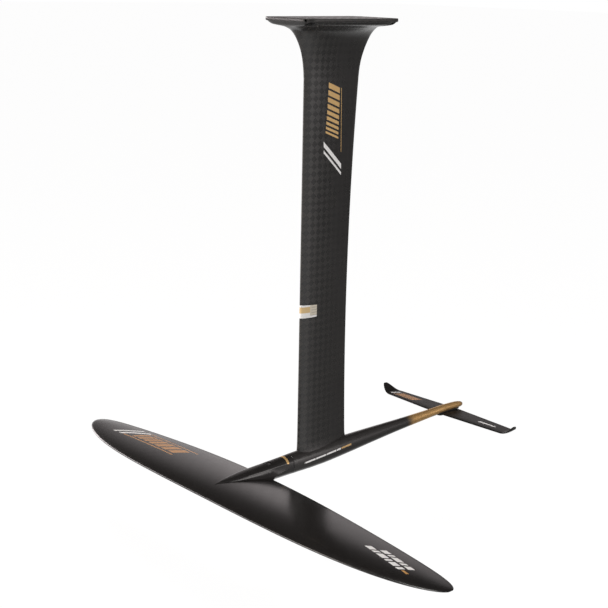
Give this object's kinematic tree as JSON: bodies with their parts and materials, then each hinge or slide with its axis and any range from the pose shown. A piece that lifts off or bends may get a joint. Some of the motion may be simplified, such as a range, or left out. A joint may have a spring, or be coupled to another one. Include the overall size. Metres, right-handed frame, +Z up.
{
  "type": "hydrofoil mast wing",
  "caption": "Carbon hydrofoil: slotted mounting plate, tall foil-section mast, slim fuselage, wide elliptic front wing on a slide-on nose, small rear wing with upturned tips.",
  "frame": {"origin": "centre of the four slots, on the mounting plate's top face, where it meets the board", "axes": "+X forward to the nose, +Y to port, +Z up out of the plate"},
  "size_m": [0.6427, 0.9422, 0.7928],
  "materials": {
    "carbon_satin": "satin lacquered carbon fibre, spread-tow weave",
    "carbon_raw": "raw solid carbon laminate",
    "core_foam": "closed-cell structural foam",
    "screw_steel": "turned stainless steel",
    "insert_brass": "turned brass",
    "bush_aluminium": "anodised",
    "shim_plastic": "fine-grain moulded plastic",
    "accent_gold": "metallic gold paint under satin lacquer",
    "accent_white": "white print under lacquer"
  },
  "bodies": {
    "mast": {"top_plate": "carbon_satin", "slot_bush_1": "bush_aluminium", "slot_bush_2": "bush_aluminium", "slot_bush_3": "bush_aluminium", "slot_bush_4": "bush_aluminium", "mast_skin_port": "carbon_satin", "mast_skin_starboard": "carbon_satin", "mast_core": "core_foam", "mast_foot": "carbon_raw", "mast_insert_front": "insert_brass", "mast_insert_rear": "insert_brass"},
    "fuselage": {"fuselage": "carbon_satin", "tail_insert_front": "insert_brass", "tail_insert_rear": "insert_brass"},
    "mast_washer_front": {"mast_screw_washer_front": "screw_steel"},
    "mast_bolt_front": {"mast_screw_front": "screw_steel"},
    "mast_washer_rear": {"mast_screw_washer_rear": "screw_steel"},
    "mast_bolt_rear": {"mast_screw_rear": "screw_steel"},
    "front_wing": {"nose_fairing": "carbon_satin", "wing_upper_skin": "carbon_satin", "wing_lower_skin": "carbon_satin", "wing_core": "core_foam", "wing_insert": "insert_brass"},
    "clamp_washer": {"wing_screw_washer": "screw_steel"},
    "clamp_bolt": {"wing_screw": "screw_steel"},
    "rear_wing": {"rear_wing": "carbon_satin", "rear_wing_shim": "shim_plastic"},
    "rear_washer_front": {"rear_wing_washer_front": "screw_steel"},
    "rear_bolt_front": {"rear_wing_screw_front": "screw_steel"},
    "rear_washer_rear": {"rear_wing_washer_rear": "screw_steel"},
    "rear_bolt_rear": {"rear_wing_screw_rear": "screw_steel"}
  },
  "joints": [
    {"name": "fuselage_drop", "type": "slide", "parent": "mast", "child": "fuselage", "axis": [0, 0, -1], "range_m": [0, 0.04]},
    {"name": "front_wing_slide", "type": "slide", "parent": "fuselage", "child": "front_wing", "axis": [1, 0, 0], "range_m": [0, 0.11]},
    {"name": "rear_wing_drop", "type": "slide", "parent": "fuselage", "child": "rear_wing", "axis": [0, 0, -1], "range_m": [0, 0.03]},
    {"name": "mast_screw_front_turn", "type": "hinge", "parent": "mast_washer_front", "child": "mast_bolt_front", "pos_m": [0.03, 0, -0.777], "axis": [0, 0, -1], "range_deg": [0, 5403]},
    {"name": "mast_screw_front_out", "type": "slide", "parent": "fuselage", "child": "mast_washer_front", "axis": [0, 0, -1], "range_m": [0, 0.015]},
    {"name": "mast_screw_rear_turn", "type": "hinge", "parent": "mast_washer_rear", "child": "mast_bolt_rear", "pos_m": [-0.004, 0, -0.775], "axis": [0, 0, -1], "range_deg": [0, 5403]},
    {"name": "mast_screw_rear_out", "type": "slide", "parent": "fuselage", "child": "mast_washer_rear", "axis": [0, 0, -1], "range_m": [0, 0.015]},
    {"name": "clamp_screw_turn", "type": "hinge", "parent": "clamp_washer", "child": "clamp_bolt", "pos_m": [0.123, 0, -0.75], "axis": [0, 0, 1], "range_deg": [0, 2523]},
    {"name": "clamp_screw_out", "type": "slide", "parent": "front_wing", "child": "clamp_washer", "axis": [0, 0, 1], "range_m": [0, 0.007]},
    {"name": "rear_screw_front_turn", "type": "hinge", "parent": "rear_washer_front", "child": "rear_bolt_front", "pos_m": [-0.323, 0, -0.753], "axis": [0, 0, -1], "range_deg": [0, 3243]},
    {"name": "rear_screw_front_out", "type": "slide", "parent": "rear_wing", "child": "rear_washer_front", "axis": [0, 0, -1], "range_m": [0, 0.0063]},
    {"name": "rear_screw_rear_turn", "type": "hinge", "parent": "rear_washer_rear", "child": "rear_bolt_rear", "pos_m": [-0.344, 0, -0.753], "axis": [0, 0, -1], "range_deg": [0, 3243]},
    {"name": "rear_screw_rear_out", "type": "slide", "parent": "rear_wing", "child": "rear_washer_rear", "axis": [0, 0, -1], "range_m": [0, 0.0063]}
  ],
  "couplings": [
    {"joint": "mast_screw_front_turn", "follows": "mast_screw_front_out", "rad_per_m": 6283.2},
    {"joint": "mast_screw_rear_turn", "follows": "mast_screw_rear_out", "rad_per_m": 6283.2},
    {"joint": "clamp_screw_turn", "follows": "clamp_screw_out", "rad_per_m": 6283.2},
    {"joint": "rear_screw_front_turn", "follows": "rear_screw_front_out", "rad_per_m": 8976},
    {"joint": "rear_screw_rear_turn", "follows": "rear_screw_rear_out", "rad_per_m": 8976}
  ]
}
